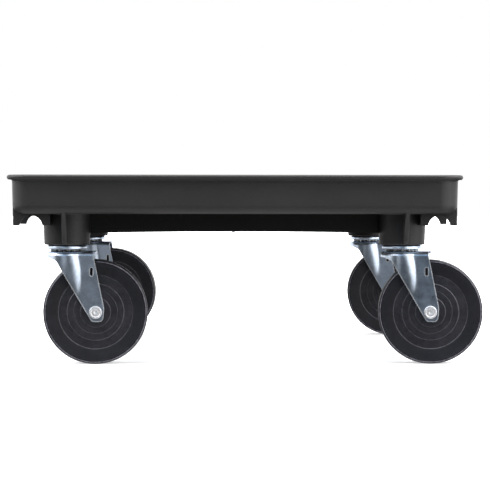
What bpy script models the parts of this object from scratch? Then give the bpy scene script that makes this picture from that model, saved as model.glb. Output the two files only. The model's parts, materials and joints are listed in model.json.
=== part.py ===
"""Rack dolly: a one-piece moulded tray on four swivel stem casters with pressed forks.

Sizes are in metres and heights are counted from the ground. The ground empty then puts the origin
at the centre of the tray's load face, which is the model's reference point. The front is towards -y.
"""

import math

import bmesh
import bpy
from mathutils import Vector

MM = 0.001
GAP = 0.3 * MM

# Wheels and their place under the deck
WHEEL_RADIUS = 63.5 * MM
HUB_HALF_WIDTH = 16.5 * MM
SHOULDER_HALF_WIDTH = 15.5 * MM
AXLE_HEIGHT = WHEEL_RADIUS
TRAIL = 34.6 * MM
PIVOT = 204.8 * MM

# Tray
RIM_TOP = 229.7 * MM
FLOOR_TOP = 187.0 * MM
FLOOR_BOTTOM = 183.0 * MM
WALL_HALF = 267.2 * MM
WALL_THICKNESS = 4.0 * MM
WALL_DRAFT = 0.5 * MM
CORNER_RADIUS = 25.0 * MM
PAN_RADIUS = 11.0 * MM
RIM_OVERHANG = 6.2 * MM
BEAD_THICKNESS = 5.9 * MM
LIP_RADIUS = 3.0 * MM
NECK_RADIUS = 2.2 * MM
INSIDE_SLAB = 185.0 * MM

# Caster sockets under the tray, with their nut pockets
SOCKET_BOTTOM = 145.0 * MM
SOCKET_TOP_RADIUS = 29.0 * MM
SOCKET_BOTTOM_RADIUS = 27.9 * MM
SOCKET_EDGE = 2.0 * MM
POCKET_RADIUS = 19.0 * MM
POCKET_FLOOR = 158.0 * MM
STEM_RADIUS = 6.35 * MM
STEM_HOLE = STEM_RADIUS + GAP

# Ribs under the tray
WEB_OFFSET = 41.0 * MM
WEB_THICKNESS = 4.0 * MM
WEB_BOTTOM = 169.2 * MM
WEB_INNER = 221.8 * MM
WEB_OUTER = 266.0 * MM
NOTCH_CENTRE = 244.5 * MM
NOTCH_RADIUS = 13.7 * MM
NOTCH_HEIGHT = 167.4 * MM
WALL_MIDDLE = 198.0 * MM
TIE_START = 16.0 * MM
GUSSET_THICKNESS = 5.6 * MM
GUSSET_BOTTOM = 147.0 * MM
GUSSET_START = 15.0 * MM
GUSSET_TOP = (264.3 * MM, 188.8 * MM)
GUSSET_HEEL = (246.0 * MM, 149.5 * MM)
GUSSET_TOE = 243.5 * MM
APRON_THICKNESS = 4.0 * MM
APRON_BOTTOM = 158.9 * MM
APRON_RISE = 2.1 * MM
APRON_REACH = 190.0 * MM
GRID_PITCH = 68.0 * MM
GRID_THICKNESS = 3.5 * MM
GRID_BOTTOM = 168.0 * MM
DRAIN_RADIUS = 11.0 * MM
GATE_PLACE = -2.0 * MM
GATE_RADIUS = 2.2 * MM
GATE_HEIGHT = 0.8 * MM

# Swivel head, heights above the floor
RACE_RADIUS = 24.0 * MM
RACE_TOP = SOCKET_BOTTOM - GAP
RACE_BOTTOM = 140.0 * MM
CROWN_TOP = 137.0 * MM
CROWN_BOTTOM = 133.2 * MM
CROWN_RADIUS = 25.8 * MM
CROWN_HOLE = 8.2 * MM
UPPER_ROW_RADIUS = 17.5 * MM
UPPER_ROW_HEIGHT = 138.7 * MM
LOWER_ROW_RADIUS = 12.5 * MM
LOWER_ROW_HEIGHT = 131.5 * MM
BALL_RADIUS = 2.5 * MM
GROOVE_DEPTH = 3.1 * MM
GROOVE_HALF_WIDTH = 3.6 * MM
CUP_RADIUS = 19.0 * MM
CUP_TOP = 130.2 * MM
CUP_BOTTOM = 127.2 * MM
PIN_HEAD_RADIUS = 10.0 * MM
PIN_HEAD_BOTTOM = 124.2 * MM
PIN_TOP = 176.0 * MM
STEM_WASHER_RADIUS = 14.0 * MM
STEM_WASHER_THICKNESS = 2.5 * MM
STEM_NUT_FLATS = 19.0 * MM
STEM_NUT_HEIGHT = 10.9 * MM

# Fork, heights above the floor
SHEET = 2.5 * MM
BEND = 3.6 * MM
FORK_HALF_WIDTH = 22.0 * MM
BOSS_RADIUS = 22.6 * MM
BULGE_TOP = 131.0 * MM
BULGE_END = 84.0 * MM
BULGE_DRIFT = 9.0 * MM
BULGE_BLEND = 0.7 * MM
LEG_TOP = CROWN_TOP - BEND
NOSE = -CROWN_RADIUS * math.pi / 2
NOSE_EDGE = ((NOSE, 129.9 * MM), (-24.0 * MM, 129.5 * MM), (-15.6 * MM, 126.9 * MM))
LEG_FRONT = (-10.2 * MM, 121.2 * MM)
LEG_TIP = (
    (28.3 * MM, 54.8 * MM), (31.2 * MM, 52.2 * MM), (38.8 * MM, 52.0 * MM), (42.2 * MM, 54.6 * MM),
    (44.3 * MM, 61.0 * MM), (44.8 * MM, 69.0 * MM),
)
LEG_TOPS = (-14.0 * MM, 22.0 * MM, 32.2 * MM)
TAIL = ((34.4 * MM, 19.5 * MM), (36.0 * MM, 16.0 * MM))
SLOT_PLACE = (29.7 * MM, 112.7 * MM)
SLOT_SIZE = (3.5 * MM, 10.0 * MM)

# Axle
SLEEVE_RADIUS = 8.0 * MM
SLEEVE_HALF = 17.4 * MM
WHEEL_BORE = 8.6 * MM
AXLE_RADIUS = 4.0 * MM
AXLE_HOLE = AXLE_RADIUS + GAP
AXLE_HEAD_RADIUS = 7.75 * MM
AXLE_HEAD_HEIGHT = 4.0 * MM
AXLE_END = 30.5 * MM
AXLE_NUT_FLATS = 13.0 * MM
AXLE_NUT_HEIGHT = 6.5 * MM
WASHER_RADIUS = 8.0 * MM
WASHER_THICKNESS = 1.5 * MM

CORNERS = {"fl": (-1, -1), "fr": (1, -1), "rl": (-1, 1), "rr": (1, 1)}

# How far each caster is turned about its stem at rest, in degrees
CASTER_TURN = {"fl": 2.7, "fr": -6.4, "rl": -2.4, "rr": -4.4}


def material(name, colour, roughness, metallic):
    """A plain Principled material. Colour is linear RGB."""
    made = bpy.data.materials.get(name)
    if made:
        return made
    made = bpy.data.materials.new(name)
    made.use_nodes = True
    made.diffuse_color = (*colour, 1)
    shader = made.node_tree.nodes["Principled BSDF"]
    shader.inputs["Base Color"].default_value = (*colour, 1)
    shader.inputs["Roughness"].default_value = roughness
    shader.inputs["Metallic"].default_value = metallic
    return made


def tray_plastic():
    return material("tray_plastic", (0.038, 0.038, 0.038), 0.5, 0.0)


def wheel_plastic():
    return material("wheel_plastic", (0.017, 0.017, 0.019), 0.45, 0.0)


def zinc_plate():
    return material("zinc_plate", (0.48, 0.53, 0.60), 0.3, 1.0)


def ball_steel():
    return material("ball_steel", (0.20, 0.20, 0.21), 0.35, 1.0)


def axle_steel():
    return material("axle_steel", (0.75, 0.76, 0.78), 0.35, 1.0)


def clear_scene():
    for old in list(bpy.data.objects):
        bpy.data.objects.remove(old)


def new_object(name, shape, finish=None, smooth_angle=None):
    """Turns a bmesh into an object with its normals outwards."""
    bmesh.ops.recalc_face_normals(shape, faces=shape.faces)
    mesh = bpy.data.meshes.new(name)
    shape.to_mesh(mesh)
    shape.free()
    if smooth_angle:
        mesh.shade_smooth()
        mesh.set_sharp_from_angle(angle=smooth_angle)
    if finish:
        mesh.materials.append(finish)
    made = bpy.data.objects.new(name, mesh)
    bpy.context.scene.collection.objects.link(made)
    return made


def arc(centre, radius, start, end, steps):
    """Points along an arc in a plane, angles in degrees."""
    turns = [math.radians(start + (end - start) * i / steps) for i in range(steps + 1)]
    return [(centre[0] + radius * math.cos(t), centre[1] + radius * math.sin(t)) for t in turns]


def spin(profile, steps, axis="Z"):
    """A turned solid: a closed outline of (radius, along) points spun round its axis."""
    shape = bmesh.new()
    along = Vector((0, 0, 1)) if axis == "Z" else Vector((0, 1, 0))
    points = [Vector((r, 0, 0)) + along * a for r, a in profile]
    verts = [shape.verts.new(p) for p in points]
    edges = [shape.edges.new((verts[i - 1], verts[i])) for i in range(len(verts))]
    bmesh.ops.spin(shape, geom=verts + edges, cent=(0, 0, 0), axis=along, angle=math.tau,
                   steps=steps, use_merge=True)
    bmesh.ops.remove_doubles(shape, verts=shape.verts, dist=1e-7)
    return shape


def prism(shape, outline, low, high, plane):
    """Adds a straight prism: an outline of (a, b) points in a plane, drawn from low to high."""
    def place(a, b, across):
        return {"XY": (a, b, across), "XZ": (a, across, b), "YZ": (across, a, b)}[plane]
    bottom = [shape.verts.new(place(a, b, low)) for a, b in outline]
    face = shape.faces.new(bottom)
    made = bmesh.ops.extrude_face_region(shape, geom=[face])
    moved = [v for v in made["geom"] if isinstance(v, bmesh.types.BMVert)]
    bmesh.ops.translate(shape, verts=moved, vec=Vector(place(0, 0, high - low)))


def box(shape, low, high):
    prism(shape, [(low[0], low[1]), (high[0], low[1]), (high[0], high[1]), (low[0], high[1])],
          low[2], high[2], "XY")


def polygon(radius, sides, turn=0.0, centre=(0, 0)):
    return [(centre[0] + radius * math.cos(turn + math.tau * i / sides),
             centre[1] + radius * math.sin(turn + math.tau * i / sides)) for i in range(sides)]


def helper(name, shape):
    """An operand for a Boolean, left out of the model itself."""
    made = new_object(name, shape)
    made.hide_render = True
    made.display_type = "WIRE"
    return made


def combine(target, operand, operation):
    step = target.modifiers.new(operand.name, "BOOLEAN")
    step.operation = operation
    step.solver = "EXACT"
    step.object = operand


# ---------------------------------------------------------------- deck

def tray_section():
    """The tray's section as (half width, height) points, from the floor over the rim and back under."""
    inner = WALL_HALF - WALL_THICKNESS
    bead = BEAD_THICKNESS / 2
    bead_middle = WALL_HALF + RIM_OVERHANG - bead
    neck = RIM_TOP - BEAD_THICKNESS
    pan_middle = WALL_HALF - WALL_DRAFT - PAN_RADIUS
    well_radius = PAN_RADIUS - WALL_THICKNESS
    section = arc((pan_middle, FLOOR_TOP + well_radius), well_radius, -90, 0, 3)
    section += arc((inner + LIP_RADIUS, RIM_TOP - LIP_RADIUS), LIP_RADIUS, 180, 90, 2)
    section += arc((bead_middle, RIM_TOP - bead), bead, 90, -90, 4)
    section += arc((WALL_HALF + NECK_RADIUS, neck - NECK_RADIUS), NECK_RADIUS, 90, 180, 2)
    section += arc((pan_middle, FLOOR_BOTTOM + PAN_RADIUS), PAN_RADIUS, 0, -90, 4)
    return section


def rounded_square(shape, half, height, steps=5):
    """One ring of the tray: all rings share the centres of their corner arcs."""
    middle = WALL_HALF - CORNER_RADIUS
    ring = []
    for quarter in range(4):
        ring += arc((0, 0), half - middle, quarter * 90, quarter * 90 + 90, steps)
    signs = [(1, 1), (-1, 1), (-1, -1), (1, -1)]
    verts = []
    for i, (x, y) in enumerate(ring):
        sx, sy = signs[i // (steps + 1)]
        verts.append(shape.verts.new((x + sx * middle, y + sy * middle, height)))
    return verts


def tray_shell():
    shape = bmesh.new()
    rings = [rounded_square(shape, half, height) for half, height in tray_section()]
    for low, high in zip(rings, rings[1:]):
        for i in range(len(low)):
            shape.faces.new((low[i - 1], low[i], high[i], high[i - 1]))
    shape.faces.new(rings[0])
    shape.faces.new(rings[-1])
    return shape


def sockets():
    profile = [(0, INSIDE_SLAB), (SOCKET_TOP_RADIUS, INSIDE_SLAB)]
    profile += arc((SOCKET_BOTTOM_RADIUS - SOCKET_EDGE, SOCKET_BOTTOM + SOCKET_EDGE), SOCKET_EDGE,
                   0, -90, 2)
    profile += [(0, SOCKET_BOTTOM)]
    one = bpy.data.meshes.new("socket")
    turned = spin(profile, 24)
    turned.to_mesh(one)
    turned.free()
    shape = bmesh.new()
    for sx, sy in CORNERS.values():
        count = len(shape.verts)
        shape.from_mesh(one)
        shape.verts.ensure_lookup_table()
        bmesh.ops.translate(shape, verts=shape.verts[count:], vec=(sx * PIVOT, sy * PIVOT, 0))
    bpy.data.meshes.remove(one)
    return shape


def gussets():
    """A rib from each socket out to the front or rear wall, sloping back as it goes down."""
    shape = bmesh.new()
    half = GUSSET_THICKNESS / 2
    start = PIVOT + GUSSET_START
    end = WALL_HALF - PAN_RADIUS
    outline = [GUSSET_TOP, GUSSET_HEEL, (GUSSET_TOE, GUSSET_BOTTOM), (start, GUSSET_BOTTOM),
               (start, INSIDE_SLAB), (end, INSIDE_SLAB)]
    for sx, sy in CORNERS.values():
        prism(shape, [(sy * y, z) for y, z in outline], sx * PIVOT - half, sx * PIVOT + half, "YZ")
    return shape


def webs():
    """Notched webs from the side walls towards the sockets, a pair at each."""
    shape = bmesh.new()
    rise = math.degrees(math.asin((WEB_BOTTOM - NOTCH_HEIGHT) / NOTCH_RADIUS))
    notch = arc((NOTCH_CENTRE, NOTCH_HEIGHT), NOTCH_RADIUS, 180 - rise, rise, 8)
    outline = [(WEB_INNER, INSIDE_SLAB), (WEB_INNER, WEB_BOTTOM)] + notch
    wall = WALL_HALF - WALL_DRAFT
    outline += [(WEB_OUTER, WEB_BOTTOM), (WEB_OUTER, WALL_MIDDLE)]
    outline += [(wall - WALL_THICKNESS / 2, WALL_MIDDLE), (wall - 6 * MM, FLOOR_TOP + 2 * MM),
                (wall - PAN_RADIUS - 2 * MM, INSIDE_SLAB)]
    for sx, sy in CORNERS.values():
        for side in (-1, 1):
            y = sy * PIVOT + side * WEB_OFFSET
            prism(shape, [(sx * x, z) for x, z in outline],
                  y - WEB_THICKNESS / 2, y + WEB_THICKNESS / 2, "XZ")
    return shape


def ties():
    """Short ribs that tie the webs' inner ends to the socket."""
    shape = bmesh.new()
    for sx, sy in CORNERS.values():
        for side in (-1, 1):
            xs = sorted((sx * (WEB_INNER + 0.2 * MM), sx * (WEB_INNER + WEB_THICKNESS)))
            ys = sorted((sy * PIVOT + side * TIE_START, sy * PIVOT + side * WEB_OFFSET))
            box(shape, (xs[0], ys[0], WEB_BOTTOM + 0.2 * MM), (xs[1], ys[1], INSIDE_SLAB - GAP))
    return shape


def aprons(plane):
    """The deep, slightly arched ribs between the sockets."""
    shape = bmesh.new()
    steps = 8
    arch = []
    for i in range(steps + 1):
        along = -APRON_REACH + 2 * APRON_REACH * i / steps
        arch.append((along, APRON_BOTTOM + APRON_RISE * (1 - (along / APRON_REACH) ** 2)))
    outline = [(-APRON_REACH, INSIDE_SLAB), (APRON_REACH, INSIDE_SLAB)] + arch[::-1]
    for side in (-1, 1):
        middle = side * PIVOT
        prism(shape, outline, middle - APRON_THICKNESS / 2, middle + APRON_THICKNESS / 2, plane)
    return shape


def grid(plane, bottom):
    """Shallower ribs that cross the floor's underside between the aprons."""
    shape = bmesh.new()
    outline = [(-PIVOT, bottom), (PIVOT, bottom), (PIVOT, INSIDE_SLAB), (-PIVOT, INSIDE_SLAB)]
    for side in (-1, 1):
        middle = side * GRID_PITCH
        prism(shape, outline, middle - GRID_THICKNESS / 2, middle + GRID_THICKNESS / 2, plane)
    return shape


def gate_mark():
    """The nub left by the mould's gate under the front apron."""
    shape = bmesh.new()
    low = APRON_BOTTOM + APRON_RISE - GATE_HEIGHT
    prism(shape, polygon(GATE_RADIUS, 10, 0, (GATE_PLACE, -PIVOT)), low, low + 4 * MM, "XY")
    return shape


def pockets():
    """Nut pockets from the tray floor down into each socket, and drain holes between the ribs."""
    shape = bmesh.new()
    above = FLOOR_TOP + 5 * MM
    for sx, sy in CORNERS.values():
        outline = polygon(POCKET_RADIUS, 20, 0, (sx * PIVOT, sy * PIVOT))
        prism(shape, outline, POCKET_FLOOR, above, "XY")
    pitch = 2 * GRID_PITCH
    for ix in (-1, 0, 1):
        for iy in (-1, 0, 1):
            if ix or iy:
                prism(shape, polygon(DRAIN_RADIUS, 16, 0, (ix * pitch, iy * pitch)),
                      FLOOR_BOTTOM - 3 * MM, above, "XY")
    return shape


def stem_bores():
    shape = bmesh.new()
    for sx, sy in CORNERS.values():
        prism(shape, polygon(STEM_HOLE, 12, 0, (sx * PIVOT, sy * PIVOT)),
              SOCKET_BOTTOM - 5 * MM, POCKET_FLOOR + 5 * MM, "XY")
    return shape


def make_deck(ground):
    deck = new_object("deck", tray_shell(), tray_plastic(), math.radians(35))
    deck.parent = ground
    added = {
        "sockets": sockets(), "gussets": gussets(), "webs": webs(), "ties": ties(),
        "aprons_x": aprons("XZ"), "aprons_y": aprons("YZ"), "grid_x": grid("XZ", GRID_BOTTOM),
        "grid_y": grid("YZ", GRID_BOTTOM + 0.5 * MM), "gate_mark": gate_mark(),
    }
    for name, shape in added.items():
        combine(deck, helper("add_" + name, shape), "UNION")
    for name, shape in (("pockets", pockets()), ("stem_bores", stem_bores())):
        combine(deck, helper("cut_" + name, shape), "DIFFERENCE")
    for step in deck.modifiers:
        step.object.parent = ground


# ---------------------------------------------------------------- swivel head

def groove(row_radius, row_height, level, outward):
    """A ball groove let into a face at this height: four points in order of radius, or reversed."""
    bed = row_height + math.copysign(GROOVE_DEPTH, level - row_height)
    wide = GROOVE_HALF_WIDTH
    points = [(row_radius - wide, level), (row_radius - wide / 2, bed),
              (row_radius + wide / 2, bed), (row_radius + wide, level)]
    return points if outward else points[::-1]


def ring(name, inner, outer, low, high, steps, finish, axis="Z"):
    profile = [(inner, low), (outer, low), (outer, high), (inner, high)]
    return new_object(name, spin(profile, steps, axis), finish, math.radians(35))


def make_kingpin(name):
    """A threaded stem whose round head holds the swivel head together from below."""
    head_top = CUP_BOTTOM - GAP
    profile = [(0, PIN_HEAD_BOTTOM), (PIN_HEAD_RADIUS - 1.5 * MM, PIN_HEAD_BOTTOM),
               (PIN_HEAD_RADIUS, PIN_HEAD_BOTTOM + 1.2 * MM), (PIN_HEAD_RADIUS, head_top),
               (STEM_RADIUS, head_top), (STEM_RADIUS, PIN_TOP - 1.5 * MM),
               (STEM_RADIUS - 1.2 * MM, PIN_TOP), (0, PIN_TOP)]
    return new_object(name, spin(profile, 12), zinc_plate(), math.radians(35))


def make_hex_nut(name, flats, bore, low, high, axis="Z"):
    nut = bmesh.new()
    plane = "XY" if axis == "Z" else "XZ"
    prism(nut, polygon(flats / math.sqrt(3), 6, math.radians(30)), low, high, plane)
    hole = bmesh.new()
    prism(hole, polygon(bore, 12), low - 2 * MM, high + 2 * MM, plane)
    made = new_object(name, nut, zinc_plate())
    combine(made, helper("cut_" + name, hole), "DIFFERENCE")
    return made


def make_top_race(name):
    """The pressed disc that the socket rests on, grooved underneath for the upper balls."""
    profile = [(STEM_HOLE, RACE_TOP), (STEM_HOLE, RACE_BOTTOM)]
    profile += groove(UPPER_ROW_RADIUS, UPPER_ROW_HEIGHT, RACE_BOTTOM, True)
    profile += [(RACE_RADIUS - 0.8 * MM, RACE_BOTTOM), (RACE_RADIUS, RACE_BOTTOM + 0.8 * MM),
                (RACE_RADIUS, RACE_TOP - 1.6 * MM), (RACE_RADIUS - 1.6 * MM, RACE_TOP)]
    return new_object(name, spin(profile, 20), zinc_plate(), math.radians(35))


def make_ball_ring(name, row_radius, row_height):
    """A caged row of balls, taken as one ring."""
    profile = arc((row_radius, row_height), BALL_RADIUS, 0, 360 - 360 / 5, 4)
    return new_object(name, spin(profile, 16), ball_steel(), math.radians(60))


def make_lower_race(name):
    profile = [(STEM_HOLE, CUP_TOP), (STEM_HOLE, CUP_BOTTOM), (CUP_RADIUS - 1 * MM, CUP_BOTTOM),
               (CUP_RADIUS, CUP_BOTTOM + 1 * MM), (CUP_RADIUS, CUP_TOP)]
    profile += groove(LOWER_ROW_RADIUS, LOWER_ROW_HEIGHT, CUP_TOP, False)
    return new_object(name, spin(profile, 16), zinc_plate(), math.radians(35))


# ---------------------------------------------------------------- fork

def polyline(points, count):
    """Points spread evenly by length along a polyline."""
    points = [Vector(p) for p in points]
    spans = [(b - a).length for a, b in zip(points, points[1:])]
    spread = []
    for i in range(count + 1):
        left = sum(spans) * i / count
        k = 0
        while k < len(spans) - 1 and left > spans[k]:
            left -= spans[k]
            k += 1
        spread.append(points[k].lerp(points[k + 1], min(left / spans[k], 1)))
    return spread


def leg_face(along, height):
    """A point of the fork's outer face on its near side.

    along runs round the crown from the nose, negative, to the trailing side, where it equals x. The
    crown's round wall carries on down the leg as a bulge that narrows and ends above the axle.
    """
    rise = min((height - BULGE_END) / (BULGE_TOP - BULGE_END), 1)
    swell = rise * (2 - rise) if rise > 0 else 2 * rise
    radius = FORK_HALF_WIDTH + (CROWN_RADIUS - FORK_HALF_WIDTH) * swell
    if along < 0:
        turn = along / CROWN_RADIUS
        return Vector((CROWN_RADIUS * math.sin(turn), -radius * math.cos(turn), height))
    drift = BULGE_DRIFT * min(max((BULGE_TOP - height) / (41 * MM), 0), 1)
    wall = math.sqrt(max(radius ** 2 - max(along - drift, 0) ** 2, 0))
    blend = math.hypot(wall - FORK_HALF_WIDTH, BULGE_BLEND)
    return Vector((along, -(wall + FORK_HALF_WIDTH + blend) / 2, height))


def sheet_point(along, height, rise):
    """The sheet's outer and inner points here or, for a rise above 0, over the bend to the crown."""
    step = 0.05 * MM
    across = leg_face(along + step, height) - leg_face(along - step, height)
    upward = leg_face(along, height + step) - leg_face(along, height - step)
    outward = across.cross(upward).normalized()
    outer = leg_face(along, height)
    inner = outer - outward * SHEET
    if rise:
        level = Vector((outward.x, outward.y, 0)).normalized()
        turn = math.radians(90 * rise)
        aside = level * (1 - math.cos(turn))
        upright = Vector((0, 0, math.sin(turn)))
        outer = outer + (upright - aside) * BEND
        inner = inner + (upright - aside) * (BEND - SHEET)
    return outer, inner


def leg_columns():
    """Pairs of flat points from the bend at the top down to the sheet's lower edge, nose first."""
    front_top, back_top, tail_top = LEG_TOPS
    top = polyline([(NOSE, LEG_TOP), (front_top, LEG_TOP)], 5)
    low = polyline(NOSE_EDGE, 5)
    top += polyline([(front_top, LEG_TOP), (back_top, LEG_TOP)], 6)[1:]
    low += [Vector(LEG_FRONT)] + polyline([LEG_FRONT, LEG_TIP[0]], 5)[1:]
    top += polyline([(back_top, LEG_TOP), (tail_top, LEG_TOP)], 5)[1:]
    low += [Vector(point) for point in LEG_TIP[1:]]
    return list(zip(top, low))


def thick_sheet(pairs, faces):
    """A closed body between matching outer and inner points, walled in along its rim."""
    shape = bmesh.new()
    outer = [shape.verts.new(pair[0]) for pair in pairs]
    inner = [shape.verts.new(pair[1]) for pair in pairs]
    edges = set()
    for face in faces:
        shape.faces.new([outer[k] for k in face])
        shape.faces.new([inner[k] for k in reversed(face)])
        edges.update(zip(face, face[1:] + face[:1]))
    for a, b in sorted(edges):
        if (b, a) not in edges:
            shape.faces.new((outer[b], outer[a], inner[a], inner[b]))
    return shape


def fork_sheet():
    """The pressed sheet: both legs, the nose between them and the flat crown, as one body."""
    levels = [(0, 1), (0, 0.5), (0, 0), (0.16, 0), (0.34, 0), (0.52, 0), (0.72, 0), (1, 0)]
    pairs = []
    faces = []
    columns = {}
    for side in (1, -1):
        columns[side] = []
        for top, low in leg_columns():
            if side == -1 and not columns[side]:
                columns[side].append(columns[1][0])
                continue
            columns[side].append(range(len(pairs), len(pairs) + len(levels)))
            for down, rise in levels:
                flat = top.lerp(low, down)
                points = sheet_point(flat.x, flat.y, rise)
                pairs.append([Vector((p.x, p.y * side, p.z)) for p in points])
        for near, far in zip(columns[side], columns[side][1:]):
            for j in range(len(levels) - 1):
                quad = (near[j], near[j + 1], far[j + 1], far[j])
                faces.append(quad[::side])
    crown = [column[0] for column in columns[1]]
    for x, y in [(x, -y) for x, y in TAIL] + [(x, y) for x, y in TAIL[::-1]]:
        crown.append(len(pairs))
        pairs.append([Vector((x, y, CROWN_TOP)), Vector((x, y, CROWN_TOP - SHEET))])
    crown += [column[0] for column in columns[-1][:0:-1]]
    faces.append(tuple(crown))
    return thick_sheet(pairs, faces)


def crown_boss():
    profile = [(CROWN_HOLE, CROWN_BOTTOM), (BOSS_RADIUS, CROWN_BOTTOM),
               (BOSS_RADIUS, CROWN_TOP - SHEET / 2), (CROWN_HOLE, CROWN_TOP - SHEET / 2)]
    return spin(profile, 20)


def crown_cuts():
    """The hole for the kingpin and the ball grooves in both faces of the crown."""
    clear = 1 * MM
    upper = groove(UPPER_ROW_RADIUS, UPPER_ROW_HEIGHT, CROWN_TOP, True)
    upper += [(upper[-1][0], CROWN_TOP + clear), (upper[0][0], CROWN_TOP + clear)]
    lower = groove(LOWER_ROW_RADIUS, LOWER_ROW_HEIGHT, CROWN_BOTTOM, True)
    lower += [(lower[-1][0], CROWN_BOTTOM - clear), (lower[0][0], CROWN_BOTTOM - clear)]
    hole = [(0, CROWN_BOTTOM - clear), (CROWN_HOLE, CROWN_BOTTOM - clear),
            (CROWN_HOLE, CROWN_TOP + clear), (0, CROWN_TOP + clear)]
    shape = bmesh.new()
    for profile in (upper, lower, hole):
        turned = spin(profile, 20)
        bmesh.ops.recalc_face_normals(turned, faces=turned.faces)
        mesh = bpy.data.meshes.new("cut")
        turned.to_mesh(mesh)
        turned.free()
        shape.from_mesh(mesh)
        bpy.data.meshes.remove(mesh)
    return shape


def leg_holes():
    """Both legs' axle holes and the small upright slots above them."""
    shape = bmesh.new()
    reach = FORK_HALF_WIDTH + 5 * MM
    prism(shape, polygon(AXLE_HOLE, 12, 0, (TRAIL, AXLE_HEIGHT)), -reach, reach, "XZ")
    half = SLOT_SIZE[0] / 2
    straight = SLOT_SIZE[1] / 2 - half
    slot = arc((SLOT_PLACE[0], SLOT_PLACE[1] + straight), half, 0, 180, 4)
    slot += arc((SLOT_PLACE[0], SLOT_PLACE[1] - straight), half, 180, 360, 4)
    prism(shape, slot, -reach, reach, "XZ")
    return shape


def make_fork(name):
    fork = new_object(name, fork_sheet(), zinc_plate(), math.radians(35))
    combine(fork, helper(name + "_add_boss", crown_boss()), "UNION")
    for part, shape in (("crown", crown_cuts()), ("holes", leg_holes())):
        combine(fork, helper(name + "_cut_" + part, shape), "DIFFERENCE")
    return fork


# ---------------------------------------------------------------- wheel and axle

def wheel_face():
    """The stepped face of the wheel, hub first: a raised hub and disc, then a sunk ring."""
    steps = ((18.5, 0.0), (19.5, -1.5), (33.9, -1.8), (34.9, -2.9), (44.5, -3.3), (45.3, -2.7),
             (61.0, -1.4))
    return [(radius * MM, HUB_HALF_WIDTH + depth * MM) for radius, depth in steps]


def make_wheel(name):
    face = [(WHEEL_BORE, HUB_HALF_WIDTH)] + wheel_face()
    face += [(WHEEL_RADIUS, SHOULDER_HALF_WIDTH - 3.5 * MM)]
    profile = face + [(radius, -along) for radius, along in reversed(face)]
    return new_object(name, spin(profile, 32, "Y"), wheel_plastic(), math.radians(30))


def make_axle_bolt(name):
    """A domed head on the near side, and a plain shank through fork, washers and sleeve."""
    seat = -FORK_HALF_WIDTH - GAP
    dome = [(AXLE_HEAD_RADIUS, seat), (AXLE_HEAD_RADIUS, seat - 1.8 * MM),
            (AXLE_HEAD_RADIUS - 1.4 * MM, seat - 3.2 * MM), (4.4 * MM, seat - AXLE_HEAD_HEIGHT)]
    profile = [(0, AXLE_END), (AXLE_RADIUS - 0.8 * MM, AXLE_END), (AXLE_RADIUS, AXLE_END - 1 * MM),
               (AXLE_RADIUS, seat)] + dome + [(0, seat - AXLE_HEAD_HEIGHT)]
    return new_object(name, spin(profile, 12, "Y"), axle_steel(), math.radians(35))


def make_caster(prefix, place, ground):
    """One caster. Its pivot empty stands on the swivel axis, and its hub empty on the axle."""
    pivot = bpy.data.objects.new(prefix + "_pivot", None)
    hub = bpy.data.objects.new(prefix + "_hub", None)
    for empty in (pivot, hub):
        bpy.context.scene.collection.objects.link(empty)
    pivot.parent = ground
    pivot.location = (place[0] * PIVOT, place[1] * PIVOT, 0)
    pivot.rotation_euler.z = math.radians(CASTER_TURN[prefix])
    hub.parent = pivot
    hub.location = (TRAIL, 0, AXLE_HEIGHT)

    washer_low = POCKET_FLOOR + GAP
    washer_high = washer_low + STEM_WASHER_THICKNESS
    nut_low = washer_high + GAP
    head = [
        make_kingpin(prefix + "_kingpin"),
        make_top_race(prefix + "_top_race"),
        make_ball_ring(prefix + "_upper_balls", UPPER_ROW_RADIUS, UPPER_ROW_HEIGHT),
        make_ball_ring(prefix + "_lower_balls", LOWER_ROW_RADIUS, LOWER_ROW_HEIGHT),
        make_lower_race(prefix + "_lower_race"),
        ring(prefix + "_stem_washer", STEM_HOLE, STEM_WASHER_RADIUS, washer_low, washer_high, 12,
             zinc_plate()),
        make_hex_nut(prefix + "_stem_nut", STEM_NUT_FLATS, STEM_HOLE, nut_low,
                     nut_low + STEM_NUT_HEIGHT),
        make_fork(prefix + "_fork"),
    ]
    nut_seat = FORK_HALF_WIDTH + GAP
    washer_out = FORK_HALF_WIDTH - SHEET - GAP
    washer_in = washer_out - WASHER_THICKNESS
    axle = [
        make_wheel(prefix + "_wheel"),
        ring(prefix + "_axle_sleeve", AXLE_HOLE, SLEEVE_RADIUS, -SLEEVE_HALF, SLEEVE_HALF, 12,
             axle_steel(), "Y"),
        make_axle_bolt(prefix + "_axle_bolt"),
        make_hex_nut(prefix + "_axle_nut", AXLE_NUT_FLATS, AXLE_HOLE, nut_seat,
                     nut_seat + AXLE_NUT_HEIGHT, "Y"),
        ring(prefix + "_washer_near", AXLE_HOLE, WASHER_RADIUS, -washer_out, -washer_in, 12,
             zinc_plate(), "Y"),
        ring(prefix + "_washer_far", AXLE_HOLE, WASHER_RADIUS, washer_in, washer_out, 12,
             zinc_plate(), "Y"),
    ]
    for holder, pieces in ((pivot, head), (hub, axle)):
        for piece in pieces:
            piece.parent = holder
            for step in piece.modifiers:
                step.object.parent = holder


def main():
    clear_scene()
    ground = bpy.data.objects.new("ground", None)
    bpy.context.scene.collection.objects.link(ground)
    ground.location = (0, 0, -FLOOR_TOP)
    make_deck(ground)
    for prefix, place in CORNERS.items():
        make_caster(prefix, place, ground)


main()
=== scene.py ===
"""Looks of the tray dolly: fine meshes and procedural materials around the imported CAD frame.

Each caster piece is meshed once, about its own pivot with z = 0 on the ground, and placed four times.
Sizes are in metres. Some brightness is painted in, not lit: the tray's material is darker where it is
sheltered, and the fork's cut edges and the wheel's ring edges are lighter in their materials.
"""

import json
import math

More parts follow.
